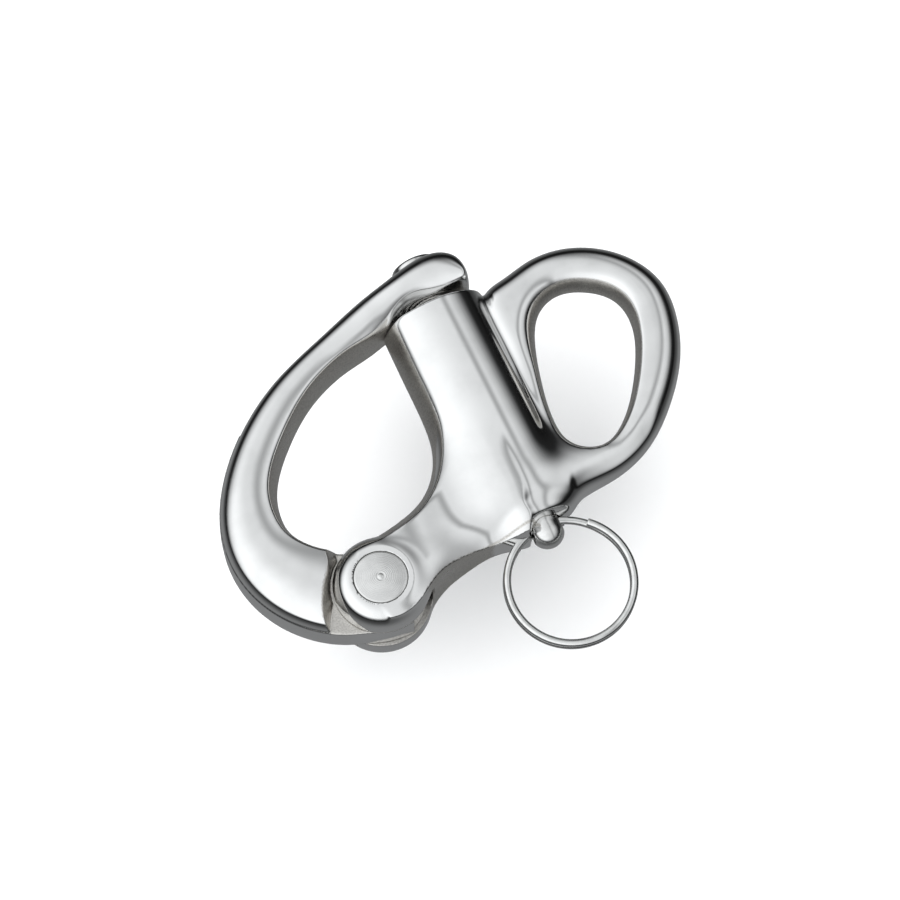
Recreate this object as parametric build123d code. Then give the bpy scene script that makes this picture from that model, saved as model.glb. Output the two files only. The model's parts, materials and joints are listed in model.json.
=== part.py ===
from build123d import *
import os
from math import copysign, cos, pi, radians, sin

# Fixed-eye snap shackle, 70 mm long, polished stainless steel. Millimetres.
# Every shape is drawn from the hinge pin's axis, lying flat: +X from the gate's bow to the eye,
# +Y from the pull ring to the gate's cap, Z = 0 on the parting plane. The export then moves the
# origin to the middle of the eye.

# ---- driving dimensions ----
EYE_X, EYE_Y = 39.0, 18.0            # middle of the eye, from the hinge pin
HALF_THICK = 6.2                     # half of the thickness over the ears, the barrel and the cap

# hinge
EAR_R = 6.3
EAR_LAND_R = 4.7                     # flat land on the ear's face
SLOT_HALF = 2.2                      # half of the slot between the ears
SLOT_R = 6.7                         # how far the slot is cut round the hinge pin
TONGUE_GAP = 0.1                     # side play of the tongue, each side
TONGUE_R = 5.9
PIN_R = 2.0
PIN_PLAY = 0.05                      # running clearance of the tongue's hole, on the radius
PIN_HEAD_R, PIN_HEAD_H = 3.5, 2.0
PIN_HEAD_GAP = 0.08                  # ring gap round the head
PIN_DOME = 0.18
PIN_TAIL_R, PIN_TAIL_H = 2.9, 0.9    # peened end in its countersink

# barrel
AXIS_X = 23.1                        # plunger axis
BARREL_X, BARREL_HALF_W = 22.3, 7.25
BARREL_LOW, BARREL_HIGH = 0.05, 32.5
BORE_R = 3.25
BORE_FLOOR = 3.2                     # inner face of the barrel's end wall

# gate
CAP_LOW = 33.2                       # underside of the cap
CAP_HOLE_PLAY = 0.15                 # the cap's hole over the barrel's bore, on the radius
SECTION_STEPS = 9
ROUND_POWER, SQUARE_POWER = 2.3, 3.4 # superellipse powers of a section's outside and inside

# plunger, with its spring
PLUNGER_PLAY = 0.05                  # running clearance in the bore and in the end wall
STEM_R = 2.25
NOSE_HIGH = 40.3
SHOULDER_Y = 23.0
HEAD_LOW = -3.8
CROSS_HOLE_Y, CROSS_HOLE_R = -1.1, 1.2
SPRING_WIRE_R, SPRING_MEAN_R, SPRING_TURNS = 0.4, 2.75, 11

# split ring
RING_MEAN_R, RING_WIRE_R = 8.5, 0.525
RING_STACK = 1.1                     # distance between its two turns
RING_DROOP = 5.0                     # how far the ring sags below the shackle's plane, in degrees


def plate(outline, half):
    """A flat outline as a plate of the given half thickness, about Z = 0."""
    return extrude(outline, half, both=True)


def smooth_face(points):
    """A face inside one smooth closed curve through the points."""
    return make_face(Spline(*points, periodic=True))


def soften(solid, radius, keep=lambda edge: True):
    """Rounds the chosen edges, or as much as they allow."""
    edges = [e for e in solid.edges() if keep(e)]
    for share in (1.0, 0.8, 0.6, 0.4, 0.2):
        try:
            rounded = fillet(edges, radius * share)
        except Exception:
            continue
        if rounded.is_valid:
            return rounded
    raise ValueError("edges could not be rounded")


def axis_turn(profile):
    """A profile drawn in X (radius) and Y, turned about the plunger axis."""
    return Pos(AXIS_X, 0, 0) * revolve(profile, Axis.Y)


def ear_lobe():
    """The round end of the arm: a flat land, then a long convex fall to the rim."""
    half = [(0, 0), (EAR_R, 0), (EAR_R, 3.6)]
    rim = Spline((EAR_R, 3.6), (6.0, 5.0), (5.5, 5.8), (EAR_LAND_R, HALF_THICK), tangents=[(0, 1), (-1, 0)])
    section = make_face([Polyline(*half), rim, Polyline((EAR_LAND_R, HALF_THICK), (0, HALF_THICK), (0, 0))])
    top = revolve(Plane.XZ * section, Axis.Z)
    return top + mirror(top, Plane.XY)


def arm():
    """The web from the ears to the barrel, hollowed on its upper side by the gate's opening."""
    top = Spline((-1.8, 4.6), (1.5, 6.1), (4.5, 6.9), (8.0, 7.8), (10.6, 9.4), (12.9, 12.1), (15.2, 16.2),
                 (18.6, 21.5))
    foot = Spline((19.5, -0.5), (12.0, -1.05), (8.0, -1.8), (5.4, -3.2), (3.2, -4.9), (1.8, -5.0))
    face = make_face([top, Polyline((18.6, 21.5), (21.5, 21.5), (19.5, -0.5)), foot,
                      Polyline((1.8, -5.0), (-1.8, 4.6))])
    crown = Spline((-3.0, 6.1), (4.0, 5.9), (8.0, 5.2), (12.0, 4.2), (16.0, 3.3), (19.0, 4.2), (22.0, 5.4))
    side = make_face([crown, Polyline((22.0, 5.4), (22.0, 0), (-3.0, 0), (-3.0, 6.1))])
    upper = extrude(Plane.XZ * side, 30, both=True)
    solid = plate(face, HALF_THICK) & (upper + mirror(upper, Plane.XY))
    return soften(solid, 1.8, lambda e: e.length > 15 and abs(e.center().Z) > 3.5)


def barrel():
    section = Pos(BARREL_X, 0) * Ellipse(BARREL_HALF_W, HALF_THICK)
    tube = extrude(Plane((0, BARREL_LOW, 0), x_dir=(1, 0, 0), z_dir=(0, 1, 0)) * section,
                   BARREL_HIGH - BARREL_LOW)
    tube = soften(tube, 2.2, lambda e: e.center().Y < BARREL_LOW + 0.1)
    return soften(tube, 1.0, lambda e: e.center().Y > BARREL_HIGH - 0.1)


def eye():
    """The fixed eye: a rounded ring of oval outline, joined to the barrel by its straight side."""
    outer = smooth_face([(25.0, 0.6), (30.0, 0.9), (36.0, 1.9), (41.9, 4.5), (47.1, 9.5), (50.7, 15.7),
                         (52.1, 22.3), (50.1, 28.3), (45.4, 32.5), (39.1, 34.2), (33.0, 33.1), (27.0, 30.6),
                         (23.5, 16.0)])
    ring = soften(plate(outer, 3.4), 3.0)
    hole = smooth_face([(30.6, 12.3), (31.8, 18.9), (34.3, 25.5), (38.4, 28.2), (42.9, 26.9), (45.7, 23.4),
                        (45.1, 17.5), (41.2, 10.7), (35.8, 6.2), (31.7, 7.6)])
    ring -= plate(hole, HALF_THICK)
    return soften(ring, 2.2, lambda e: e.bounding_box().min.X > 30 and e.bounding_box().size.Z < 0.01)


def make_body():
    solid = ear_lobe() + arm() + barrel() + eye()
    solid -= slot()
    solid -= Cylinder(PIN_R, 2 * HALF_THICK + 2)
    solid -= Pos(0, 0, HALF_THICK - PIN_HEAD_H) * Cylinder(
        PIN_HEAD_R + PIN_HEAD_GAP, PIN_HEAD_H + 1, align=(Align.CENTER, Align.CENTER, Align.MIN))
    solid -= Pos(0, 0, -HALF_THICK) * Cone(
        PIN_TAIL_R, PIN_R, PIN_TAIL_H, align=(Align.CENTER, Align.CENTER, Align.MIN))
    bore = Polyline((0, BORE_FLOOR), (BORE_R, BORE_FLOOR), (BORE_R, BARREL_HIGH + 1), (0, BARREL_HIGH + 1),
                    close=True)
    solid -= axis_turn(make_face(bore))
    wall = Polyline((0, BARREL_LOW - 2), (STEM_R + PLUNGER_PLAY, BARREL_LOW - 2),
                    (STEM_R + PLUNGER_PLAY, BORE_FLOOR + 1), (0, BORE_FLOOR + 1), close=True)
    return solid - axis_turn(make_face(wall))


def slot():
    """The slot between the ears, open to the left and round below."""
    return plate(Circle(SLOT_R), SLOT_HALF)


def bow_section(outer, inner, half):
    """The upper half of a section square to the gate's centre line: round outside, squarer inside."""
    across = Vector(*outer) - Vector(*inner)
    plane = Plane((Vector(*outer) + Vector(*inner)) / 2, x_dir=across, z_dir=across.cross(Vector(0, 0, 1)))
    reach = across.length / 2
    points = []
    for step in range(1, SECTION_STEPS):
        angle = pi * step / SECTION_STEPS
        power = 2 / (ROUND_POWER if cos(angle) > 0 else SQUARE_POWER)
        points.append((reach * copysign(abs(cos(angle)) ** power, cos(angle)), half * sin(angle) ** power))
    crown = Spline((reach, 0), *points, (-reach, 0), tangents=[(0, half), (0, -half)])
    face = make_face([crown, Line((-reach, 0), (reach, 0))])
    return plane * mirror(face, Plane.XZ)


def gate_bow():
    """The bow and its cap in one sweep of sections, from the shoulder by the ears to the cap's far end."""
    stations = [
        ((-7.0, -4.5), (-4.0, 7.6), 5.2), ((-11.5, -1.4), (-6.3, 9.7), 5.2),
        ((-14.9, 3.3), (-7.3, 11.8), 5.1), ((-16.7, 10.5), (-7.6, 14.2), 4.9),
        ((-15.8, 17.0), (-6.9, 17.6), 4.7), ((-12.7, 22.8), (-5.3, 20.7), 4.5),
        ((-7.8, 28.1), (-2.5, 24.1), 4.4), ((-0.8, 32.7), (2.6, 28.5), 4.3),
        ((7.5, 35.9), (9.3, 31.3), 4.4), ((13.6, 37.7), (14.6, 32.2), 4.9),
        ((17.2, 38.7), (17.8, 32.7), 5.7), ((20.4, 39.6), (20.6, 32.7), 6.1),
        ((23.6, 40.1), (23.6, 32.7), HALF_THICK), ((26.4, 39.8), (26.4, 32.8), 5.8),
        ((28.2, 38.6), (28.2, 33.6), 4.3), ((29.0, 37.2), (29.0, 35.1), 1.6),
    ]
    upper = loft([bow_section(*station) for station in stations])
    return upper + mirror(upper, Plane.XY)


def make_gate():
    solid = gate_bow()
    solid -= extrude(Pos(22.0, CAP_LOW - 5) * Rectangle(13.6, 10), HALF_THICK + 1, both=True)
    shoulder = make_face(Polyline((-5.0, 9.0), (-5.05, 5.2), (-7.3, 2.6), (-9.3, -1.6), (-9.3, -9.0),
                                  (5, -9.0), (5, 9.0), close=True))
    solid -= plate(shoulder, HALF_THICK)
    web = make_face(Polyline((-3.2, 4.9), (-5.6, 7.2), (-10.5, 0.0), (-9.0, -3.0), (-7.0, -4.4), (-3.0, -5.0),
                             (0, 0), close=True))
    solid += plate(Circle(TONGUE_R), SLOT_HALF - TONGUE_GAP)
    solid += plate(web, SLOT_HALF - TONGUE_GAP)
    solid -= Cylinder(PIN_R + PIN_PLAY, 2 * HALF_THICK)
    hole_r = BORE_R + CAP_HOLE_PLAY
    hole = Polyline((0, CAP_LOW - 3), (hole_r, CAP_LOW - 3), (hole_r, 50), (0, 50), close=True)
    return solid - axis_turn(make_face(hole))


def make_hinge_pin():
    """The rivet: a turned head flush with one ear, and a peened cone in the other."""
    up = (Align.CENTER, Align.CENTER, Align.MIN)
    seat = HALF_THICK - PIN_HEAD_H
    shank = Pos(0, 0, -HALF_THICK) * Cylinder(PIN_R, HALF_THICK + seat, align=up)
    head = Pos(0, 0, seat) * Cylinder(PIN_HEAD_R, PIN_HEAD_H, align=up)
    head = chamfer(head.edges().group_by(Axis.Z)[-1], 0.15)
    dome = Pos(0, 0, HALF_THICK) * Cone(PIN_HEAD_R - 0.15, 0.5, PIN_DOME, align=up)
    tail = Pos(0, 0, -HALF_THICK) * Cone(PIN_TAIL_R, PIN_R, PIN_TAIL_H, align=up)
    return shank + head + dome + tail


def make_plunger():
    nose_r = BORE_R - PLUNGER_PLAY
    round_nose = 0.6
    dome_mid = HEAD_LOW + STEM_R
    side = Polyline((STEM_R, dome_mid), (STEM_R, SHOULDER_Y), (nose_r, SHOULDER_Y),
                    (nose_r, NOSE_HIGH - round_nose), (nose_r - round_nose, NOSE_HIGH), (0, NOSE_HIGH),
                    (0, HEAD_LOW))
    dome = ThreePointArc((0, HEAD_LOW), (STEM_R * sin(radians(45)), dome_mid - STEM_R * cos(radians(45))),
                         (STEM_R, dome_mid))
    solid = axis_turn(make_face([side, dome]))
    return solid - Pos(AXIS_X, CROSS_HOLE_Y, 0) * Rot(0, 90, 0) * Cylinder(CROSS_HOLE_R, 4 * STEM_R)


def make_spring():
    length = SHOULDER_Y - BORE_FLOOR - 2 * SPRING_WIRE_R - 0.1
    start = BORE_FLOOR + SPRING_WIRE_R + 0.05
    path = Helix(length / SPRING_TURNS, length, SPRING_MEAN_R, center=(0, 0, 0), direction=(0, 0, 1))
    wire = sweep(Plane(path @ 0, z_dir=path % 0) * Circle(SPRING_WIRE_R), path, is_frenet=True)
    return Pos(AXIS_X, start, 0) * Rot(-90, 0, 0) * wire


def ring_point(turn):
    """A point on the split ring's centre line. It steps from one turn to the other beside the plunger."""
    step = min(max((turn - 0.92) / 0.16, 0.0), 1.0)
    lift = step * step * (3 - 2 * step)
    angle = radians(360 * turn + 60)
    return (RING_MEAN_R * cos(angle), RING_MEAN_R * sin(angle), (lift - 0.5) * RING_STACK)


def make_ring():
    turns = [0.03 + i * 1.94 / 48 for i in range(49)]
    path = Spline(*[ring_point(t) for t in turns])
    ring = sweep(Plane(path @ 0, z_dir=path % 0) * Circle(RING_WIRE_R), path)
    hung = Pos(0, -RING_MEAN_R, 0) * ring
    return Pos(AXIS_X, CROSS_HOLE_Y, 0) * Rot(RING_DROOP, 0, 0) * hung


PARTS = {
    "body": make_body,
    "gate": make_gate,
    "hinge_pin": make_hinge_pin,
    "plunger": make_plunger,
    "plunger_spring": make_spring,
    "pull_ring": make_ring,
}

os.makedirs("parts", exist_ok=True)
for name, make in PARTS.items():
    export_step(Pos(-EYE_X, -EYE_Y, 0) * make(), f"parts/{name}.step")
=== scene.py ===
import json
import math

import bpy
import numpy as np
from mathutils import Matrix, Vector
from mathutils.kdtree import KDTree


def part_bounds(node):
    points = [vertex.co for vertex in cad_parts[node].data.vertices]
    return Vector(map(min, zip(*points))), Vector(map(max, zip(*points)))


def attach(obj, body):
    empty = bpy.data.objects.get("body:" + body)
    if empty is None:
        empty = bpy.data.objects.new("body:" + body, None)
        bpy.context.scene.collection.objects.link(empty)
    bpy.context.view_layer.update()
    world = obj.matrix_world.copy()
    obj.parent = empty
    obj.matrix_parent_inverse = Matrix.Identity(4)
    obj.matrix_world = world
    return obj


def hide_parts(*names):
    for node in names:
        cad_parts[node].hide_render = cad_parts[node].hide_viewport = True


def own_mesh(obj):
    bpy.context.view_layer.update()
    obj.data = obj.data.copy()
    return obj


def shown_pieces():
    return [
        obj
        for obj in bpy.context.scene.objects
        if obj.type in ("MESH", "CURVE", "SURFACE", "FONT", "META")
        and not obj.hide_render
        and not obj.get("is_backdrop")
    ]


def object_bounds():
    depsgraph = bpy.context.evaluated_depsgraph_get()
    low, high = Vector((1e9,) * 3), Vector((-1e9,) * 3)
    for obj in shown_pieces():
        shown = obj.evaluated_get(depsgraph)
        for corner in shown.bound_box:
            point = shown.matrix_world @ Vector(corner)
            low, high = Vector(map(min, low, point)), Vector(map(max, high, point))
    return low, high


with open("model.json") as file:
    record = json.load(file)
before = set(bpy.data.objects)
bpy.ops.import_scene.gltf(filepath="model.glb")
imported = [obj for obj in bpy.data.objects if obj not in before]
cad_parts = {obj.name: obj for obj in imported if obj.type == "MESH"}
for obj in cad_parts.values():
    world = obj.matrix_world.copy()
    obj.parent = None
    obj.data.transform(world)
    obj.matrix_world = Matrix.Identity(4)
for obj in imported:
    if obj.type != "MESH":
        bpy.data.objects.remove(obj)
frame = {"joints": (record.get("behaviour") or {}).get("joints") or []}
CAD_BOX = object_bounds()

# Everything is drawn in millimetres from the hinge pin's axis, with X towards the eye, Y from the pull
# ring to the cap and Z up from the parting plane. to_frame() turns that into the frame's metres.
MM = 0.001
JOINTS = {joint["name"]: joint for joint in frame["joints"]}
HINGE = np.array(JOINTS["gate_swing"]["pos_m"]) / MM
AXIS_X = JOINTS["plunger_turn"]["pos_m"][0] / MM - HINGE[0]
RING_Y = JOINTS["ring_swing"]["pos_m"][1] / MM - HINGE[1]


def part_box(node):
    """A CAD node's lowest and highest corners, in this script's millimetres."""
    low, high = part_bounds(node)
    return np.array(low) / MM - HINGE, np.array(high) / MM - HINGE


BODY_LOW, BODY_HIGH = part_box("body")
GATE_LOW, GATE_HIGH = part_box("gate")
PLUNGER_LOW, PLUNGER_HIGH = part_box("plunger")
SPRING_LOW, SPRING_HIGH = part_box("plunger_spring")

HALF_THICK = BODY_HIGH[2]
VOXEL = 0.2
CHART_STEP = 0.25
CHART_LOW = np.array([-22.0, -14.0])
CHART_HIGH = np.array([58.0, 48.0])

# fits, as in the CAD
SLOT_HALF, SLOT_R = 2.2, 6.7
TONGUE_HALF, TONGUE_R = 2.1, 5.9
EAR_CLEAR = 6.7
PIN_R, PIN_HEAD_R, PIN_HEAD_H = 2.0, 3.5, 2.0
PIN_PLAY = 0.05
HEAD_PLAY = 0.08
BORE_R, BORE_FLOOR = 3.25, 3.2
BARREL_END = 32.5
STEM_HOLE_R = 2.3
SLIDE_PLAY = 0.05
NOSE_SEAT_R = BORE_R + 0.15
NOSE_SEAT_START = 31.0
CROSS_HOLE_R = 1.2
CAP_LOW = 33.2

# proportions of the visible surfaces
BARREL_HALF = 5.95
BARREL_LEFT, BARREL_RIGHT = 9.0, 6.4
EYE_HALF = 3.15
EYE_ROUND = 3.0
FACET_LOW, FACET_SLOPE = 1.6, 0.6
EDGE_ROUND = 0.3


# ---- curves ----

def spline(points, closed=False, step=0.06):
    """A smooth curve through the points, as a fine run of points."""
    knots = np.array(points, float)
    if closed:
        knots = np.vstack([knots, knots[:1]])
    span = np.linalg.norm(np.diff(knots, axis=0), axis=1)
    place = np.concatenate([[0.0], np.cumsum(span)])
    slope = np.diff(knots, axis=0) / span[:, None]
    count = len(knots) - 1 if closed else len(knots)
    matrix = np.zeros((count, count))
    right = np.zeros((count, knots.shape[1]))
    for i in range(count):
        if not closed and i in (0, count - 1):
            matrix[i, i] = 1.0
            continue
        before, after = span[i - 1], span[i % len(span)]
        matrix[i, i - 1] += before
        matrix[i, i] += 2 * (before + after)
        matrix[i, (i + 1) % count] += after
        right[i] = 6 * (slope[i % len(slope)] - slope[i - 1])
    bend = np.linalg.solve(matrix, right)
    if closed:
        bend = np.vstack([bend, bend[:1]])
    at = np.linspace(0, place[-1], int(place[-1] / step) + 2)
    if closed:
        at = at[:-1]
    k = np.clip(np.searchsorted(place, at, side="right") - 1, 0, len(span) - 1)
    a = ((place[k + 1] - at) / span[k])[:, None]
    b = 1 - a
    cubic = (a ** 3 - a) * bend[k] + (b ** 3 - b) * bend[k + 1]
    return a * knots[k] + b * knots[k + 1] + cubic * (span[k] ** 2)[:, None] / 6


def graph(*points):
    """A smooth function through (place, value) pairs, level beyond its ends."""
    run = spline(points, step=0.02)
    return lambda at: np.interp(at, run[:, 0], run[:, 1])


def step_up(low, high, at):
    """0 below low and 1 above high, with a smooth step between. Swapped ends make it a step down."""
    t = np.clip((at - low) / (high - low), 0, 1)
    return t * t * (3 - 2 * t)


# ---- charts: a distance in plan, worked out once and read back smoothly ----

def chart_axes():
    """The charts' places in X and in Y."""
    return [np.arange(CHART_LOW[i], CHART_HIGH[i] + CHART_STEP, CHART_STEP) for i in (0, 1)]


def chart(values):
    """A function of x and y that reads a chart with smooth (Catmull-Rom) weights."""
    def weights(f):
        return (((-f + 2) * f - 1) * f / 2, ((3 * f - 5) * f * f + 2) / 2,
                ((-3 * f + 4) * f + 1) * f / 2, (f - 1) * f * f / 2)

    def read(x, y):
        x, y = np.broadcast_arrays(x, y)
        u = (x - CHART_LOW[0]) / CHART_STEP
        v = (y - CHART_LOW[1]) / CHART_STEP
        i = np.clip(np.floor(u).astype(int), 1, values.shape[0] - 3)
        j = np.clip(np.floor(v).astype(int), 1, values.shape[1] - 3)
        across = weights(u - i)
        up = weights(v - j)
        total = 0.0
        for a in range(4):
            row = 0.0
            for b in range(4):
                row = row + up[b] * values[i + a - 1, j + b - 1]
            total = total + across[a] * row
        return total
    return read


def survey(run, closed):
    """For every chart point: the distance to the curve, positive on its left, and the place along it."""
    axes = chart_axes()
    x, y = np.meshgrid(*axes, indexing="ij")
    tree = KDTree(len(run))
    for i, (a, b) in enumerate(run):
        tree.insert((a, b, 0), i)
    tree.balance()
    near = np.array([tree.find((a, b, 0))[1] for a, b in zip(x.flat, y.flat)])
    spot = np.stack([x.ravel(), y.ravel()], 1)
    last = len(run) - 1
    best = np.full(len(spot), np.inf)
    side = np.zeros(len(spot))
    along = np.zeros(len(spot))
    for shift in (-1, 0):
        i = near + shift
        i = i % len(run) if closed else np.clip(i, 0, last - 1)
        start = run[i]
        way = run[(i + 1) % len(run)] - start
        share = ((spot - start) * way).sum(1) / (way * way).sum(1)
        low = np.where((i == 0) & (not closed), -np.inf, 0.0)
        high = np.where((i == last - 1) & (not closed), np.inf, 1.0)
        share = np.clip(share, low, high)
        off = spot - start - share[:, None] * way
        gap = np.hypot(off[:, 0], off[:, 1])
        closer = gap < best
        best = np.where(closer, gap, best)
        turn = way[:, 0] * off[:, 1] - way[:, 1] * off[:, 0]
        side = np.where(closer, np.sign(turn), side)
        along = np.where(closer, (i + share) / last, along)
    return (best * side).reshape(x.shape), np.clip(along, 0, 1).reshape(x.shape)


def left_of(points, closed=False, soften=0):
    """Chart of the distance to the curve, positive on its left; soften counts the rounds of smoothing."""
    values = survey(spline(points, closed), closed)[0]
    soft = values.copy()
    for _ in range(soften):
        sides = [np.roll(soft, shift, axis) for axis in (0, 1) for shift in (-1, 1)]
        soft = (soft + sum(sides)) / 5
    return chart(values + step_up(0.8, 3.0, values) * (soft - values))


# ---- soft unions and cuts of solids that are given as distances, negative inside ----

def join(a, b, blend):
    """The union, with a valley filled over about the blend's width."""
    near = np.maximum(blend - np.abs(a - b), 0) / blend
    return np.minimum(a, b) - near ** 3 * blend / 6


def keep(a, b, blend):
    """What lies in both, with a ridge rounded over about the blend's width."""
    return -join(-a, -b, blend)


def bevelled(a, b, radius):
    """What lies in both, with a true round of that radius between them."""
    corner = np.hypot(np.maximum(a + radius, 0), np.maximum(b + radius, 0)) - radius
    return np.where(np.maximum(a, b) > -radius, corner, np.maximum(a, b))


# ---- solid to mesh ----

# the four cells round an edge along each axis, in turn
CELLS_ROUND = np.array([[(0, -1, -1), (0, 0, -1), (0, 0, 0), (0, -1, 0)],
                        [(-1, 0, -1), (-1, 0, 0), (0, 0, 0), (0, 0, -1)],
                        [(-1, -1, 0), (0, -1, 0), (0, 0, 0), (-1, 0, 0)]])


def crossed_edges(values):
    """Every grid edge whose ends differ in sign: its start, its axis, and the values at its ends."""
    inside = values < 0
    size = values.shape
    starts, axes, ends = [], [], []
    for axis in range(3):
        unit = np.eye(3, dtype=int)[axis]
        here = inside[:size[0] - unit[0], :size[1] - unit[1], :size[2] - unit[2]]
        there = inside[unit[0]:, unit[1]:, unit[2]:]
        start = np.argwhere(here != there)
        starts.append(start)
        axes.append(np.full(len(start), axis))
        ends.append(np.stack([values[tuple(start.T)], values[tuple((start + unit).T)]], 1))
    return np.concatenate(starts), np.concatenate(axes), np.concatenate(ends)


def crossing_points(shape, base, units, ends, step):
    """Where the surface cuts each edge, by three rounds of false position."""
    t0, t1 = np.zeros(len(base)), np.ones(len(base))
    f0, f1 = ends[:, 0].copy(), ends[:, 1].copy()
    for _ in range(3):
        t = t0 + (t1 - t0) * np.clip(f0 / (f0 - f1), 0.02, 0.98)
        f = shape(*(base + units * (t * step)[:, None]).T)
        same = (f < 0) == (f0 < 0)
        t0, f0 = np.where(same, t, t0), np.where(same, f, f0)
        t1, f1 = np.where(same, t1, t), np.where(same, f1, f)
    t = t0 + (t1 - t0) * f0 / (f0 - f1)
    return base + units * (t * step)[:, None]


def fit_corners(corner, crossing, normal, step):
    """One vertex per cell, where the planes through its crossings come nearest to meeting."""
    count = corner.max() + 1
    outer = normal[:, :, None] * normal[:, None, :]
    matrix = np.zeros((count, 3, 3))
    right = np.zeros((count, 3))
    centre = np.zeros((count, 3))
    hits = np.zeros(count)
    for k in range(4):
        for r in range(3):
            centre[:, r] += np.bincount(corner[:, k], crossing[:, r], count)
            for c in range(3):
                matrix[:, r, c] += np.bincount(corner[:, k], outer[:, r, c], count)
        hits += np.bincount(corner[:, k], minlength=count)
    centre /= hits[:, None]
    for k in range(4):
        pull = normal * (normal * (crossing - centre[corner[:, k]])).sum(1)[:, None]
        for r in range(3):
            right[:, r] += np.bincount(corner[:, k], pull[:, r], count)
    stay = 0.02
    matrix += np.eye(3) * stay * hits[:, None, None]
    shift = np.linalg.solve(matrix, right[:, :, None])[:, :, 0]
    return centre + shortened(shift, 0.8 * step)


def shortened(moves, limit):
    """The moves, with the longer ones cut to the limit."""
    length = np.linalg.norm(moves, axis=1, keepdims=True)
    return moves * np.minimum(1, limit / np.maximum(length, 1e-9))


def settle(shape, vertices, step):
    """Brings the vertices onto the surface, in two short moves."""
    for _ in range(2):
        slope = slope_of(shape, vertices, 0.02)
        move = slope * (shape(*vertices.T) / np.maximum((slope ** 2).sum(1), 1e-6))[:, None]
        vertices = vertices - shortened(move, 0.5 * step)
    return vertices


def contour(shape, low, high, step):
    """Dual contouring: a quad mesh of shape(x, y, z) = 0 that keeps crisp edges."""
    margin = 3 * step
    axes = [np.arange(low[i] - margin, high[i] + margin + step, step) for i in range(3)]
    x, y, z = axes[0][:, None, None], axes[1][None, :, None], axes[2][None, None, :]
    values = np.broadcast_to(shape(x, y, z), [len(a) for a in axes])
    edges, axis_of, ends = crossed_edges(values)
    base = np.array([a[0] for a in axes]) + edges * step
    crossing = crossing_points(shape, base, np.eye(3)[axis_of], ends, step)
    normal = slope_of(shape, crossing, 0.01)
    normal /= np.maximum(np.linalg.norm(normal, axis=1, keepdims=True), 1e-9)
    around = CELLS_ROUND[axis_of] + edges[:, None, :]
    code = np.ravel_multi_index(tuple(np.moveaxis(around, -1, 0)), values.shape)
    corner = np.unique(code.ravel(), return_inverse=True)[1].reshape(code.shape)
    vertices = settle(shape, fit_corners(corner, crossing, normal, step), step)
    outward = ends[:, 0] < 0
    return vertices, np.where(outward[:, None], corner, corner[:, ::-1])


def slope_of(shape, p, h):
    """The shape's gradient at the points, by central differences."""
    parts = []
    for axis in range(3):
        step = np.eye(3)[axis] * h
        ahead, behind = p + step, p - step
        parts.append(shape(*ahead.T) - shape(*behind.T))
    return np.stack(parts, 1) / (2 * h)


def to_frame(points):
    """This script's millimetres in the frame's metres."""
    return (np.asarray(points, float) + HINGE) * MM


def add_mesh(name, points, faces, body, node, material, attributes=None):
    """A smooth-shaded piece in the frame, which rides on a body and stands for a CAD node."""
    points = to_frame(points)
    mesh = bpy.data.meshes.new(name)
    if isinstance(faces, np.ndarray):
        mesh.vertices.add(len(points))
        mesh.vertices.foreach_set("co", points.ravel())
        mesh.loops.add(faces.size)
        mesh.loops.foreach_set("vertex_index", faces.ravel().astype(np.int32))
        mesh.polygons.add(len(faces))
        mesh.polygons.foreach_set("loop_start", np.arange(0, faces.size, faces.shape[1], dtype=np.int32))
        mesh.update(calc_edges=True)
    else:
        mesh.from_pydata([tuple(p) for p in points], [], faces)
    mesh.polygons.foreach_set("use_smooth", [True] * len(mesh.polygons))
    for key, values in (attributes or {}).items():
        mesh.attributes.new(key, "FLOAT", "POINT").data.foreach_set("value", values.astype(np.float32))
    mesh.validate()
    piece = bpy.data.objects.new(name, mesh)
    bpy.context.scene.collection.objects.link(piece)
    mesh.materials.append(material)
    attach(piece, body)
    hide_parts(node)
    return piece


# ---- body ----

RIM = left_of([(24.5, 0.9), (29.0, 0.9), (35.0, 1.55), (40.2, 3.4), (45.1, 7.3), (49.4, 12.7), (51.8, 18.6),
               (52.1, 23.8), (50.2, 28.2), (46.2, 32.0), (41.2, 34.0), (37.0, 34.1), (33.0, 33.2),
               (29.9, 32.2), (28.5, 30.2), (28.0, 25.0), (27.4, 18.0), (26.1, 11.5), (23.9, 7.0),
               (22.4, 3.6)], closed=True)
HOLE = left_of([(30.6, 12.2), (31.7, 18.6), (33.2, 23.4), (35.5, 26.9), (38.7, 28.2), (42.5, 27.1),
                (45.3, 24.4), (45.9, 20.6), (44.4, 16.0), (41.6, 11.4), (38.3, 7.8), (34.5, 6.2),
                (31.4, 8.0)], closed=True)
OPENING = left_of([(15.0, 50.0), (15.0, 30.0), (14.9, 24.0), (14.75, 18.5), (14.05, 14.6), (12.3, 11.4),
                   (9.4, 8.9), (6.0, 7.65), (2.0, 6.9), (-2.0, 6.6), (-9.0, 6.6)])
FOOT = left_of([(-3.0, -4.6), (0.5, -5.5), (3.0, -4.95), (5.2, -3.6), (8.0, -2.0), (12.0, -1.15),
                (16.0, -0.85), (19.0, -0.6), (24.0, -0.6), (30.0, -1.4), (40.0, -5.0)])
CROWN = graph((-6, 5.6), (0, 5.7), (4.0, 5.75), (8, 5.3), (11.5, 4.2), (15, 3.3), (18, 3.0), (24, 3.0))
FOOT_EDGE = graph((0, 5.6), (5, 5.4), (8, 4.6), (12, 3.2), (15.5, 2.0), (18.5, 1.9), (21, 2.4), (24, 3.0))


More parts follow.
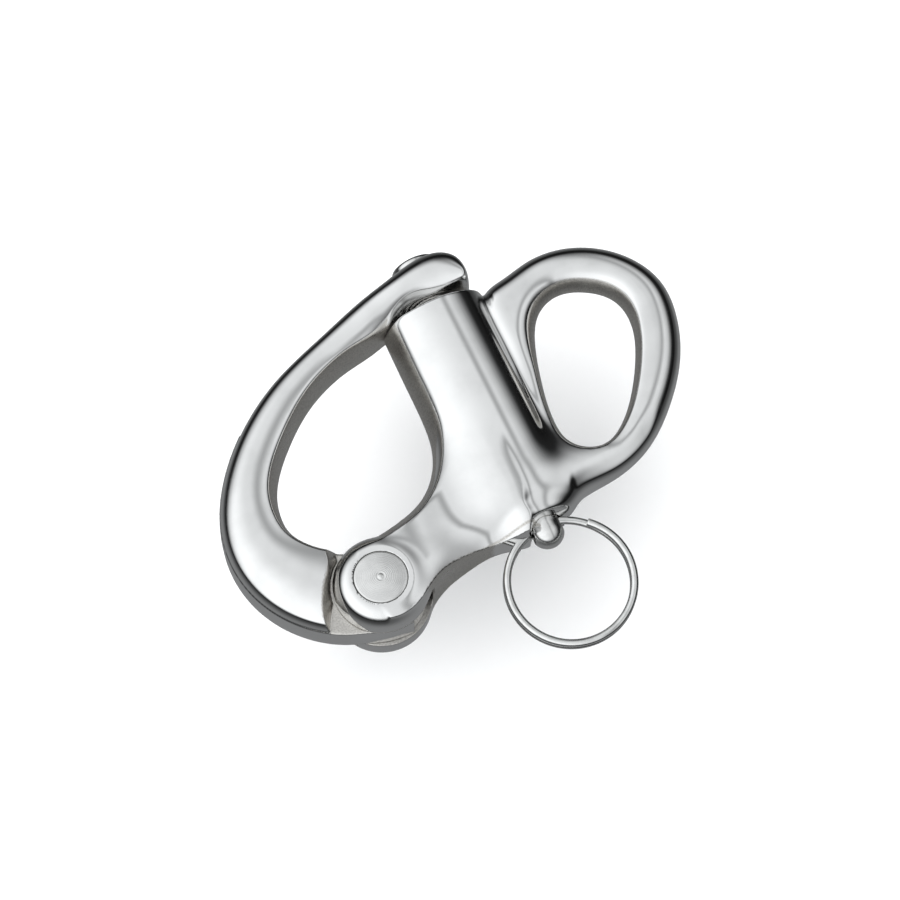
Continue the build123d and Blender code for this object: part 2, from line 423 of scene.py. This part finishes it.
def ear(x, y, z):
    """The round end. Its near rim falls in a long curve, and its far rim is fuller."""
    r = np.hypot(x, y)
    near = np.hypot(np.maximum(r - 3.75, 0) / 2.55, np.maximum(z - 3.0, 0) / (HALF_THICK - 3.0)) - 1
    far = np.hypot(np.maximum(r - 5.3, 0) / 1.25, np.maximum(-z - 4.6, 0) / (HALF_THICK - 4.6)) - 1
    return np.where(z > 0, near * 2.0, far * 1.25)


def arm(x, y, high):
    """The web from the ears to the barrel, lower along both edges, and lower still on its foot side."""
    foot, top = FOOT(x, y), OPENING(x, y)
    crown = CROWN(x) - 3.0 * step_up(8.0, 20.0, y)
    fall = np.clip(1 - foot / (2.6 + 1.6 * step_up(8, 16, x)), 0, 1) ** 2
    surface = crown - (crown - FOOT_EDGE(x)) * fall
    surface = surface - 0.9 * np.clip(1 - top / 2.4, 0, 1) ** 2
    return np.maximum(keep((high - surface) * 0.75, np.abs(x - 9.5) - 10.5, 0.5), -foot)


def barrel(x, y, z):
    """The plunger's housing: round on its right, flared on its left, domed at its low end round a collar."""
    drop = np.maximum(6.4 - y, 0) / 5.2
    reach = np.where(x < AXIS_X, BARREL_LEFT, BARREL_RIGHT)
    oval = (np.sqrt(((x - AXIS_X) / reach) ** 2 + (z / BARREL_HALF) ** 2 + drop ** 3) - 1) * 6.0
    r = np.hypot(x - AXIS_X, z)
    collar = np.hypot(np.maximum(r - 3.5, 0), np.maximum(0.85 - y, 0)) - 0.8
    return join(oval, np.maximum(collar, y - 20), 1.0)


def eye(x, y, high):
    """The fixed eye: round outside, lower towards the hole, with a faint facet along its low edge."""
    rim, hole = RIM(x, y), HOLE(x, y)
    half = EYE_HALF + 1.0 * np.exp(-((x - 29.5) ** 2 + (y - 4.0) ** 2) / 22.0)
    p = np.maximum(EYE_ROUND - rim, 0) / EYE_ROUND
    outside = (np.hypot(p, high / half) - 1) * EYE_ROUND
    fade = 1.2 * step_up(40.0, 50.0, x) + 1.2 * step_up(29.0, 26.0, x) + 2.0 * step_up(10.0, 24.0, y)
    chord = (high * EYE_HALF / half - FACET_LOW - FACET_SLOPE * rim) * 0.857 - fade
    roll = 0.6 + 1.3 * step_up(18.0, 27.0, y)
    crown = high - half + roll * np.clip(1 - hole / 2.8, 0, 1) ** 2.2
    return keep(keep(outside, chord, 0.25), crown, 0.8)


def opening_wall(x, y, high):
    """The satin side of the gate's opening, fullest on the parting plane."""
    draft = 1.0 + 0.4 * step_up(10, 18, y)
    return draft * (np.minimum(high, 5.5) / 3.6) ** 1.6 - OPENING(x, y)


def hole_wall(x, y, high):
    """The satin wall of the eye's hole, fullest on the parting plane."""
    draft = 0.6 + 0.45 * step_up(18.0, 27.0, y)
    return draft * (np.minimum(high, 3.6) / 2.5) ** 1.6 - HOLE(x, y)


def body_shape(x, y, z):
    """The casting: arm and barrel, then ear and eye, each joined over its own width."""
    high = np.abs(z)
    flank = (3.0 + 3.5 * step_up(20.0, 6.0, y)) * step_up(26.0, 20.0, x) + 0.6
    solid = join(arm(x, y, high), barrel(x, y, z), flank)
    solid = bevelled(solid, bevelled(opening_wall(x, y, high), y - BARREL_END, 0.9), EDGE_ROUND)
    solid = join(solid, ear(x, y, z), 0.9)
    valley = 1.0 + 3.6 * step_up(13.0, 4.0, y)
    solid = join(solid, eye(x, y, high), valley)
    solid = np.maximum(bevelled(solid, hole_wall(x, y, high), EDGE_ROUND), high - HALF_THICK)
    return np.maximum(solid, body_holes(x, y, z))


def body_holes(x, y, z):
    """Positive inside the slot, the pin's hole and seats, and the plunger's bore."""
    r = np.hypot(x, y)
    slot = np.minimum(SLOT_R - r, SLOT_HALF - np.abs(z))
    seat = np.minimum(PIN_HEAD_R + HEAD_PLAY - r, z - HALF_THICK + PIN_HEAD_H)
    tail = (2.9 - r - (z + HALF_THICK)) * 0.7
    from_axis = np.hypot(x - AXIS_X, z)
    bore = np.minimum(BORE_R - from_axis, y - BORE_FLOOR)
    mouth = (BORE_R + 0.25 - from_axis + (y - BARREL_END)) * 0.7
    stem = np.minimum(STEM_HOLE_R - from_axis, BORE_FLOOR + 1 - y)
    holes = [slot, PIN_R - r, seat, tail, bore, np.minimum(mouth, y - BARREL_END + 1), stem]
    total = holes[0]
    for hole in holes[1:]:
        total = np.maximum(total, hole)
    return total


def satin(wall, rest):
    """1 where a wall is what shows, 0 elsewhere."""
    return step_up(0.02, 0.12, wall - rest)


def build_body(material):
    points, faces = contour(body_shape, BODY_LOW, BODY_HIGH, VOXEL)
    x, y, z = points.T
    high = np.abs(z)
    crown = join(arm(x, y, high), barrel(x, y, z), 2.4)
    opening, hole = opening_wall(x, y, high), hole_wall(x, y, high)
    in_opening = satin(opening, crown) * step_up(0.25, 0.1, np.abs(opening))
    in_hole = satin(hole, eye(x, y, high)) * step_up(0.25, 0.1, np.abs(hole))
    foot = step_up(0.2, 0.1, np.abs(FOOT(x, y))) * step_up(6.0, 6.6, np.hypot(x, y))
    bored = step_up(0.1, 0.02, np.abs(body_holes(x, y, z)))
    bored = bored * step_up(HALF_THICK - 0.15, HALF_THICK - 0.3, high)
    rough = np.maximum.reduce([in_opening, in_hole, foot, bored])
    return add_mesh("shackle_body", points, faces, "shackle", "body", material,
                    {"satin": rough})


# ---- gate ----

OUTSIDE = left_of([(27.2, 32.0), (28.6, 33.4), (29.1, 35.4), (28.7, 37.6), (27.3, 39.2), (25.1, 40.0),
                   (22.2, 39.9), (18.5, 39.0), (13.6, 37.8), (7.5, 35.7), (-0.8, 32.4), (-7.6, 27.9),
                   (-12.5, 22.7), (-15.7, 17.0), (-16.8, 10.5), (-15.0, 3.5), (-11.5, -1.2),
                   (-7.0, -4.3), (0.0, -6.1), (8.0, -7.0)], soften=50)
INSIDE = left_of([(8.0, 4.0), (0.0, 5.6), (-3.9, 7.4), (-6.1, 9.5), (-7.4, 12.0), (-7.6, 14.4), (-6.9, 17.6),
                  (-5.15, 20.6), (-2.2, 23.9), (2.9, 28.0), (9.3, 30.7), (13.5, 31.7), (18.0, 32.9),
                  (21.0, CAP_LOW), (25.0, CAP_LOW), (34.0, CAP_LOW)], soften=30)
MIDDLE = [(-1.0, 0.5), (-6.0, 1.5), (-9.8, 4.6), (-12.4, 9.5), (-12.7, 15.0), (-10.8, 20.4), (-7.2, 25.0),
          (0.5, 31.0), (8.4, 34.0), (14.1, 35.3), (18.0, 36.4), (23.0, 37.1), (30.0, 37.1)]
SHOULDER = left_of([(-4.6, 9.2), (-4.8, 7.0), (-5.2, 4.9), (-6.5, 2.9), (-8.0, 0.6), (-9.6, -2.4),
                    (-10.4, -6.0), (-9.0, -10.5), (4.0, -11.0), (13.0, 0.0), (7.0, 8.5), (0.0, 9.8)],
                   closed=True)


def half_chart():
    """Chart of the gate's half thickness, which swells at the shoulder and at the cap."""
    thickness = graph((0, 5.0), (10, 5.2), (22, 5.05), (38, 4.7), (50, 4.45), (62, 4.3),
                      (72, 4.45), (79, 5.1), (85, 5.85), (91, 6.2), (100, 6.2))
    return chart(thickness(100 * survey(spline(MIDDLE), False)[1]))


HALF = half_chart()
CREST = 0.5


def gate_crown(x, y, high):
    """The gate's dome: round to the outside, gently down to a crisp inner edge, and lower by the cap."""
    outside, inside = OUTSIDE(x, y), INSIDE(x, y)
    width = np.maximum(outside + inside, 1.0)
    half = HALF(x, y)
    place = outside / width
    up = high / half
    p = 0.97 * np.maximum(CREST - place, 0) / CREST
    reach = half * width * CREST / (half ** 4 + (width * CREST) ** 4) ** 0.25
    outer = ((p ** 2.2 + up ** 2.2) ** (1 / 2.2) - 1) * reach
    s = np.maximum(place - CREST, 0) / (1 - CREST)
    dip = 0.35 * np.exp(-((x - 20.5) / 2.6) ** 2)
    sink = 0.15 + (0.3 + dip) * step_up(8.0, 16.0, x) * step_up(24.0, 30.0, y)
    inner = (up - 1 + sink * s ** 2.2) * reach
    return bevelled(np.where(place < CREST, outer, inner), -outside, 1.2)


def gate_wall(x, y, high):
    """The satin inner side, fullest on the parting plane."""
    draft = 0.85 - 0.2 * step_up(-10.0, 0.0, x) - 0.35 * step_up(8.0, 17.0, x)
    edge = 0.85 * HALF(x, y)
    return draft * (np.minimum(high, HALF_THICK) / edge) ** 1.6 - INSIDE(x, y)


def tongue(x, y, high):
    """The flat tongue between the ears, and the web that joins it to the bow."""
    r = np.hypot(x, y)
    web = np.maximum(np.maximum(-OUTSIDE(x, y) + 0.35, -INSIDE(x, y) + 0.35), x + 0.3 * y)
    plan = join(r - TONGUE_R, web, 1.5)
    return bevelled(plan, high - TONGUE_HALF, 0.15)


def gate_facet(x, y, high):
    """Positive in what is cut off beside the ears: a sloped facet, and room for the ears to turn."""
    slope = SHOULDER(x, y) + 0.42 * (high - 5.0)
    return np.maximum(np.maximum(slope, EAR_CLEAR - np.hypot(x, y)), np.minimum(x - 2, 20 - y))


def gate_shape(x, y, z):
    """The bow and its tongue, with the hole for the rivet and the seat for the plunger's nose."""
    high = np.abs(z)
    bow = bevelled(gate_crown(x, y, high), gate_wall(x, y, high), EDGE_ROUND)
    solid = np.maximum(bow, gate_facet(x, y, high))
    solid = join(solid, tongue(x, y, high), 0.25)
    pin = PIN_R + PIN_PLAY - np.hypot(x, y)
    nose = np.minimum(NOSE_SEAT_R - np.hypot(x - AXIS_X, z), y - NOSE_SEAT_START)
    return np.maximum(solid, np.maximum(pin, nose))


def build_gate(material):
    points, faces = contour(gate_shape, GATE_LOW, GATE_HIGH, VOXEL)
    x, y, z = points.T
    high = np.abs(z)
    wall = gate_wall(x, y, high)
    inside = step_up(0.25, 0.1, np.abs(wall)) * satin(wall, gate_crown(x, y, high))
    facet = step_up(0.15, 0.05, np.abs(gate_facet(x, y, high))) * step_up(2.15, 2.4, high)
    seat = step_up(0.1, 0.02, np.abs(NOSE_SEAT_R - np.hypot(x - AXIS_X, z)))
    seat = seat * step_up(NOSE_SEAT_START, NOSE_SEAT_START + 1, y)
    flat = step_up(0.1, 0.03, np.abs(high - TONGUE_HALF)) * step_up(12.0, 11.0, np.hypot(x, y))
    rough = np.maximum.reduce([inside, facet, seat, flat])
    return add_mesh("gate_bow", points, faces, "gate", "gate", material, {"satin": rough})


# ---- turned and wound pieces ----

def lathe(profile, turns=160):
    """Points and quads of a profile of (radius, height) pairs turned about +Z; end radii of 0 close it."""
    rings = np.array(profile, float)
    angle = np.linspace(0, 2 * math.pi, turns, endpoint=False)
    inner = rings[1:-1]
    points = np.stack([inner[:, 0, None] * np.cos(angle), inner[:, 0, None] * np.sin(angle),
                       np.repeat(inner[:, 1, None], turns, 1)], 2).reshape(-1, 3)
    faces = []
    for i in range(len(inner) - 1):
        for k in range(turns):
            a, b = i * turns + k, i * turns + (k + 1) % turns
            faces.append((a, b, b + turns, a + turns))
    first, last = len(points), len(points) + 1
    points = np.vstack([points, [(0, 0, rings[0, 1]), (0, 0, rings[-1, 1])]])
    top = (len(inner) - 1) * turns
    for k in range(turns):
        faces.append((first, (k + 1) % turns, k))
        faces.append((last, top + k, top + (k + 1) % turns))
    return points, faces


def arc(centre, radius, start, end, count):
    """Points of an arc, in degrees."""
    angles = np.radians(np.linspace(start, end, count))
    return [(centre[0] + radius * math.cos(a), centre[1] + radius * math.sin(a)) for a in angles]


def build_pin(material):
    """The rivet: a faced, domed head with fine rings and a centre nib, a shank, and a peened tail."""
    seat = HALF_THICK - PIN_HEAD_H
    face = HALF_THICK
    tail = -HALF_THICK
    edge, dome, ring_pitch = 0.16, 0.24, 0.23
    profile = [(0, tail), (2.2, tail), (2.85, tail + 0.06), (PIN_R, tail + 0.9), (PIN_R, seat),
               (PIN_R + 0.01, seat), (PIN_HEAD_R - 0.05, seat), (PIN_HEAD_R, seat + 0.05),
               (PIN_HEAD_R, face - edge)]
    profile += arc((PIN_HEAD_R - edge, face - edge), edge, 10, 80, 5)
    for r in np.linspace(PIN_HEAD_R - 0.25, 0.62, 60):
        groove = (0.003 + 0.009 * math.exp(-r * r)) * math.cos(2 * math.pi * r / ring_pitch)
        profile.append((r, face + dome * (1 - (r / PIN_HEAD_R) ** 2) + groove))
    nib = [(0.52, 0.2), (0.42, 0.2), (0.33, 0.25), (0.2, 0.3), (0, 0.31)]
    profile += [(r, face + rise) for r, rise in nib]
    points, faces = lathe(profile)
    return add_mesh("hinge_rivet", points, faces, "shackle", "hinge_pin", material)


def plunger_shape(x, y, z):
    """A stem with a domed end and a cross hole, and a thicker nose that starts at the shoulder."""
    r = np.hypot(x - AXIS_X, z)
    low, high = PLUNGER_LOW[1], PLUNGER_HIGH[1]
    stem_r, nose_r = STEM_HOLE_R - SLIDE_PLAY, BORE_R - SLIDE_PLAY
    shoulder_y = 23.0
    dome_y = low + stem_r
    stem = np.where(y > dome_y, r - stem_r, np.hypot(r, y - dome_y) - stem_r)
    nose = bevelled(r - nose_r, y - high, 0.5)
    nose = bevelled(nose, shoulder_y - y, 0.2)
    from_hole = np.hypot(y - RING_Y, z)
    hole = CROSS_HOLE_R - from_hole
    flare = (CROSS_HOLE_R + 0.35 - from_hole - (stem_r - np.abs(x - AXIS_X))) * 0.7
    solid = np.minimum(np.maximum(stem, y - shoulder_y - 1), nose)
    return np.maximum(solid, np.maximum(hole, flare))


def build_plunger(material):
    points, faces = contour(plunger_shape, PLUNGER_LOW, PLUNGER_HIGH, VOXEL * 0.7)
    return add_mesh("plunger_pin", points, faces, "plunger", "plunger", material)


def wire(path, radius, sides=24):
    """A round wire along the path, its ends slightly rounded: points, faces, and the place along it."""
    end_reach, end_step = 0.06, 0.08
    path = np.asarray(path, float)
    way = np.gradient(path, axis=0)
    way /= np.linalg.norm(way, axis=1, keepdims=True)
    reach = np.concatenate([[0.0], np.cumsum(np.linalg.norm(np.diff(path, axis=0), axis=1))])
    spots = np.vstack([path[0] - way[0] * end_reach, path, path[-1] + way[-1] * end_reach])
    ways = np.vstack([way[:1], way, way[-1:]])
    radii = np.full(len(spots), radius)
    radii[[0, -1]] -= end_step
    side = np.cross(way[0], (0.3, 0.2, 1.0))
    angle = np.linspace(0, 2 * math.pi, sides, endpoint=False)[:, None]
    rings = []
    for spot, ahead, r in zip(spots, ways, radii):
        side = side - ahead * (side @ ahead)
        side /= np.linalg.norm(side)
        rings.append(spot + r * (np.cos(angle) * side + np.sin(angle) * np.cross(ahead, side)))
    faces = []
    for i in range(len(rings) - 1):
        for k in range(sides):
            a, b = i * sides + k, i * sides + (k + 1) % sides
            faces.append((a, b, b + sides, a + sides))
    faces.append(tuple(range(sides))[::-1])
    faces.append(tuple((len(rings) - 1) * sides + k for k in range(sides)))
    places = np.concatenate([reach[:1], reach, reach[-1:]])
    return np.concatenate(rings), faces, np.repeat(places, sides)


def build_spring(material):
    """The coil spring in the bore, its end coils closed and resting flat."""
    wire_r, end_gap = 0.4, 0.02
    coil_r = SPRING_HIGH[2] - wire_r
    low, high = SPRING_LOW[1] + wire_r + end_gap, SPRING_HIGH[1] - wire_r - end_gap
    turns = 12.5
    t = np.linspace(0, turns, 700)
    start, finish = step_up(0.2, 1.6, t), step_up(turns - 1.6, turns - 0.2, t)
    climb = np.minimum(start + finish, 1) * np.where(t < turns / 2, 1, 1 - finish)
    rise = np.cumsum(0.42 + climb)
    y = low + (high - low) * (rise - rise[0]) / (rise[-1] - rise[0])
    angle = 2 * math.pi * t
    path = np.stack([AXIS_X + coil_r * np.cos(angle), y, coil_r * np.sin(angle)], 1)
    points, faces, along = wire(path, wire_r, 14)
    piece = add_mesh("plunger_coil", points, faces, "spring", "plunger_spring", material,
                     {"along": along})
    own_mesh(piece)
    return piece


def build_ring(material):
    """The split pull ring: two turns of wire, side by side, that cross over beside the plunger."""
    wire_r, mean_r, stack, droop = 0.525, 8.3, 1.1, math.radians(5.0)
    slack = np.array([-0.1, 0.5])
    t = np.linspace(0.03, 1.97, 420)
    lift = step_up(0.92, 1.08, t) - 0.5
    angle = 2 * math.pi * t + math.radians(60)
    local = np.stack([mean_r * np.cos(angle), mean_r * np.sin(angle) - mean_r, lift * stack], 1)
    y = local[:, 1] * math.cos(droop) - local[:, 2] * math.sin(droop)
    z = local[:, 1] * math.sin(droop) + local[:, 2] * math.cos(droop)
    path = np.stack([AXIS_X + slack[0] + local[:, 0], RING_Y + slack[1] + y, z], 1)
    points, faces, along = wire(path, wire_r)
    return add_mesh("split_ring", points, faces, "ring", "pull_ring", material, {"along": along})


# ---- materials ----

class Nodes:
    """Short names for building one node tree."""

    def __init__(self, tree):
        self.tree = tree
        self.tree.nodes.clear()

    def add(self, kind, settings=None, **inputs):
        node = self.tree.nodes.new(kind)
        for key, value in (settings or {}).items():
            setattr(node, key, value)
        for key, value in inputs.items():
            self.feed(node, key.replace("_", " "), value)
        return node

    def feed(self, node, key, value):
        socket = node.inputs[int(key)] if key.isdigit() else node.inputs[key]
        if isinstance(value, bpy.types.NodeSocket):
            self.tree.links.new(value, socket)
        else:
            socket.default_value = value

    def math(self, operation, *values):
        node = self.add("ShaderNodeMath", {"operation": operation})
        for i, value in enumerate(values):
            self.feed(node, str(i), value)
        return node.outputs[0]

    def ramp(self, value, low, high, start=0.0, end=1.0):
        node = self.add("ShaderNodeMapRange", {"interpolation_type": "SMOOTHSTEP"}, Value=value)
        for key, number in (("From Min", low), ("From Max", high), ("To Min", start), ("To Max", end)):
            self.feed(node, key, number)
        return node.outputs[0]

    def noise(self, place, scale, detail=3.0, stretch=None, rough=0.5):
        if stretch:
            mapping = self.add("ShaderNodeMapping", Vector=place, Scale=stretch)
            place = mapping.outputs[0]
        node = self.add("ShaderNodeTexNoise", Vector=place, Scale=scale, Detail=detail, Roughness=rough)
        return node.outputs[0]

    def mix(self, share, a, b):
        node = self.add("ShaderNodeMix", {"data_type": "RGBA"})
        for i, value in ((0, share), (6, a), (7, b)):
            self.feed(node, str(i), value)
        return node.outputs[2]


def new_material(name):
    material = bpy.data.materials.new(name)
    material.use_nodes = True
    return material, Nodes(material.node_tree)


def finish_metal(n, colour, roughness, height, distance):
    """Joins colour, roughness and relief into a metal."""
    bump = n.add("ShaderNodeBump", Strength=1.0, Distance=distance, Height=height)
    shader = n.add("ShaderNodeBsdfPrincipled", Metallic=1.0, Roughness=roughness, Base_Color=colour,
                   Normal=bump.outputs[0])
    out = n.add("ShaderNodeOutputMaterial")
    n.tree.links.new(shader.outputs[0], out.inputs[0])


def cast_material():
    """Hand-polished casting: mirror outside with hairlines and a faint haze, blasted satin inside."""
    material, n = new_material("polished_cast_stainless")
    place = n.add("ShaderNodeTexCoord").outputs["Object"]
    inside = n.add("ShaderNodeAttribute", {"attribute_name": "satin"}).outputs["Fac"]
    haze = n.noise(place, 220, 4)
    streak_a = n.noise(place, 900, 2, (1.0, 0.05, 1.0))
    streak_b = n.noise(place, 1100, 2, (0.06, 1.0, 0.5))
    grain = n.noise(place, 5200, 3)
    wave = n.noise(place, 190, 1)
    hair = n.math("ADD", streak_a, streak_b)
    polished = n.math("ADD", n.ramp(haze, 0.35, 0.75, 0.07, 0.15), n.ramp(hair, 1.1, 1.4, 0.0, 0.06))
    blasted = n.ramp(haze, 0.3, 0.7, 0.27, 0.40)
    roughness = n.math("ADD", n.math("MULTIPLY", polished, n.math("SUBTRACT", 1.0, inside)),
                       n.math("MULTIPLY", blasted, inside))
    bright = n.mix(n.ramp(haze, 0.3, 0.8), (0.83, 0.83, 0.825, 1), (0.76, 0.76, 0.755, 1))
    dull = n.mix(n.ramp(grain, 0.35, 0.7), (0.66, 0.64, 0.605, 1), (0.48, 0.465, 0.44, 1))
    colour = n.mix(inside, bright, dull)
    relief = n.math("ADD", n.math("MULTIPLY", wave, 6.0), n.math("MULTIPLY", hair, 0.10))
    relief = n.math("ADD", relief, n.math("MULTIPLY", grain, n.math("MULTIPLY", inside, 3.0)))
    finish_metal(n, colour, roughness, relief, 0.0000016)
    return material


def turned_material(name, axis, colour, rough):
    """Turned steel with fine rings about an axis, given as its centre and the letters of its radial axes."""
    material, n = new_material(name)
    place = n.add("ShaderNodeTexCoord").outputs["Object"]
    centre, letters = axis
    moved = n.add("ShaderNodeVectorMath", {"operation": "SUBTRACT"})
    n.feed(moved, "0", place)
    n.feed(moved, "1", centre)
    parts = n.add("ShaderNodeSeparateXYZ", Vector=moved.outputs[0])
    a, b = parts.outputs["XYZ".index(letters[0])], parts.outputs["XYZ".index(letters[1])]
    radius = n.math("SQRT", n.math("ADD", n.math("MULTIPLY", a, a), n.math("MULTIPLY", b, b)))
    along = parts.outputs["XYZ".index(({"X", "Y", "Z"} - set(letters)).pop())]
    line = n.add("ShaderNodeCombineXYZ", X=radius, Y=along)
    rings = n.noise(line.outputs[0], 14000, 2)
    smear = n.noise(place, 600, 3)
    roughness = n.math("ADD", n.ramp(rings, 0.3, 0.7, rough, rough + 0.1), n.math("MULTIPLY", smear, 0.05))
    tint = n.mix(n.ramp(smear, 0.3, 0.7), colour, tuple(0.9 * c for c in colour[:3]) + (1,))
    finish_metal(n, tint, roughness, rings, 0.0000015)
    return material


def wire_material(name, colour, rough):
    """Drawn wire: streaks along its length."""
    material, n = new_material(name)
    place = n.add("ShaderNodeTexCoord").outputs["Object"]
    along = n.add("ShaderNodeAttribute", {"attribute_name": "along"}).outputs["Fac"]
    draw = n.add("ShaderNodeCombineXYZ", X=n.math("MULTIPLY", along, 0.3), Y=n.noise(place, 2500, 0))
    streaks = n.noise(draw.outputs[0], 18, 2)
    stain = n.noise(place, 500, 3)
    roughness = n.ramp(streaks, 0.3, 0.7, rough, rough + 0.12)
    tint = n.mix(n.ramp(stain, 0.35, 0.75), colour, tuple(0.85 * c for c in colour[:3]) + (1,))
    finish_metal(n, tint, roughness, streaks, 0.000001)
    return material


def floor_material():
    """Matt paper with a faint fibre."""
    material, n = new_material("paper_floor")
    place = n.add("ShaderNodeTexCoord").outputs["Object"]
    fibre = n.noise(place, 900, 4)
    tint = n.mix(fibre, (0.93, 0.93, 0.93, 1), (0.95, 0.95, 0.95, 1))
    shader = n.add("ShaderNodeBsdfPrincipled", Roughness=0.9, Base_Color=tint)
    out = n.add("ShaderNodeOutputMaterial")
    n.tree.links.new(shader.outputs[0], out.inputs[0])
    return material


# ---- light, floor and camera ----

def studio_world():
    """What the polished metal mirrors: white panels overhead, a dark gap at the horizon, grey below."""
    world = bpy.data.worlds.new("studio")
    world.use_nodes = True
    bpy.context.scene.world = world
    n = Nodes(world.node_tree)
    way = n.add("ShaderNodeTexCoord").outputs["Generated"]
    parts = n.add("ShaderNodeSeparateXYZ", Vector=way)
    x, y, z = parts.outputs
    lower = n.ramp(z, -0.75, -0.15, 0.24, 0.05)
    gap = n.ramp(z, -0.14, -0.02, 1.0, 0.0)
    panel = n.ramp(z, 0.0, 0.30, 0.0, 1.0)
    lean = n.math("SUBTRACT", z, n.math("ADD", n.math("MULTIPLY", x, 0.30), n.math("MULTIPLY", y, 0.22)))
    side = n.ramp(lean, -0.05, 0.72, 0.01, 1.0)
    seam = n.ramp(n.math("ABSOLUTE", n.math("SUBTRACT", x, 0.33)), 0.0, 0.17, 0.52, 1.0)
    glow = n.ramp(x, -0.7, 0.2, 1.30, 0.88)
    above = n.math("MULTIPLY", n.math("MULTIPLY", panel, side), n.math("MULTIPLY", seam, glow))
    below = n.math("MULTIPLY", lower, gap)
    total = n.math("ADD", n.math("ADD", above, below), 0.008)
    background = n.add("ShaderNodeBackground", Color=(0.965, 0.985, 1.0, 1), Strength=total)
    out = n.add("ShaderNodeOutputWorld")
    n.tree.links.new(background.outputs[0], out.inputs[0])


def build_floor(low):
    """A wide pale sweep, low enough for the ring to swing down. The metal doesn't mirror it."""
    drop = 0.018
    half = 1.2
    mesh = bpy.data.meshes.new("floor")
    z = low[2] - drop
    corners = [(-half, -half, z), (half, -half, z), (half, half, z), (-half, half, z)]
    mesh.from_pydata(corners, [], [(0, 1, 2, 3)])
    floor = bpy.data.objects.new("floor", mesh)
    bpy.context.scene.collection.objects.link(floor)
    mesh.materials.append(floor_material())
    floor.visible_glossy = False
    floor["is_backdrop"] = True


def soft_light(centre):
    """A large overhead panel for the floor, which the metal doesn't mirror."""
    data = bpy.data.lights.new("overhead", "AREA")
    data.shape = "DISK"
    data.size = 1.6
    data.energy = 13.0
    light = bpy.data.objects.new("overhead", data)
    light.location = centre + Vector((-0.15, 0.2, 0.9))
    light.rotation_euler = (centre - light.location).to_track_quat("-Z", "Y").to_euler()
    light.visible_glossy = False
    bpy.context.scene.collection.objects.link(light)


def shown_points():
    """Every visible vertex, in the frame."""
    points = []
    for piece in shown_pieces():
        co = np.zeros(len(piece.data.vertices) * 3)
        piece.data.vertices.foreach_get("co", co)
        points.append(co.reshape(-1, 3))
    return np.concatenate(points)


def place_camera():
    """Looks down on the near face, turned so that the plunger's axis leans to the left."""
    turn, rise = math.radians(-25.0), math.radians(68.8)
    distance = 0.55
    share = 0.5125
    sideways = Vector((math.cos(turn), math.sin(turn), 0))
    ahead = Vector((-math.sin(turn) * math.cos(rise), math.cos(turn) * math.cos(rise), -math.sin(rise)))
    upward = sideways.cross(ahead)
    points = shown_points()
    target = Vector(points.mean(0))
    for _ in range(6):
        eye_point = target - ahead * distance
        seen = points - np.array(eye_point)
        depth = seen @ np.array(ahead)
        across = seen @ np.array(sideways) / depth
        up = seen @ np.array(upward) / depth
        target = target + sideways * (across.max() + across.min()) / 2 * distance
        target = target + upward * (up.max() + up.min()) / 2 * distance
    width = (across.max() - across.min()) / share
    camera_data = bpy.data.cameras.new("camera")
    camera_data.sensor_width = 36
    camera_data.lens = 36 / width
    camera_data.clip_start = 0.01
    camera = bpy.data.objects.new("camera", camera_data)
    axes = Matrix((sideways, upward, -ahead)).transposed().to_4x4()
    camera.matrix_world = Matrix.Translation(target - ahead * distance) @ axes
    bpy.context.scene.collection.objects.link(camera)
    bpy.context.scene.camera = camera
    return target


cast = cast_material()
hinge_centre = tuple(to_frame((0, 0, 0)))
plunger_centre = tuple(to_frame((AXIS_X, 0, 0)))
build_body(cast)
build_gate(cast)
build_pin(turned_material("faced_stainless", (hinge_centre, "XY"), (0.80, 0.80, 0.79, 1), 0.16))
build_plunger(turned_material("turned_stainless", (plunger_centre, "XZ"), (0.78, 0.78, 0.77, 1), 0.10))
build_spring(wire_material("spring_wire", (0.55, 0.54, 0.52, 1), 0.22))
build_ring(wire_material("ring_wire", (0.80, 0.80, 0.79, 1), 0.08))

studio_world()
build_floor(CAD_BOX[0])
soft_light(place_camera())
bpy.context.scene.view_settings.view_transform = "Standard"
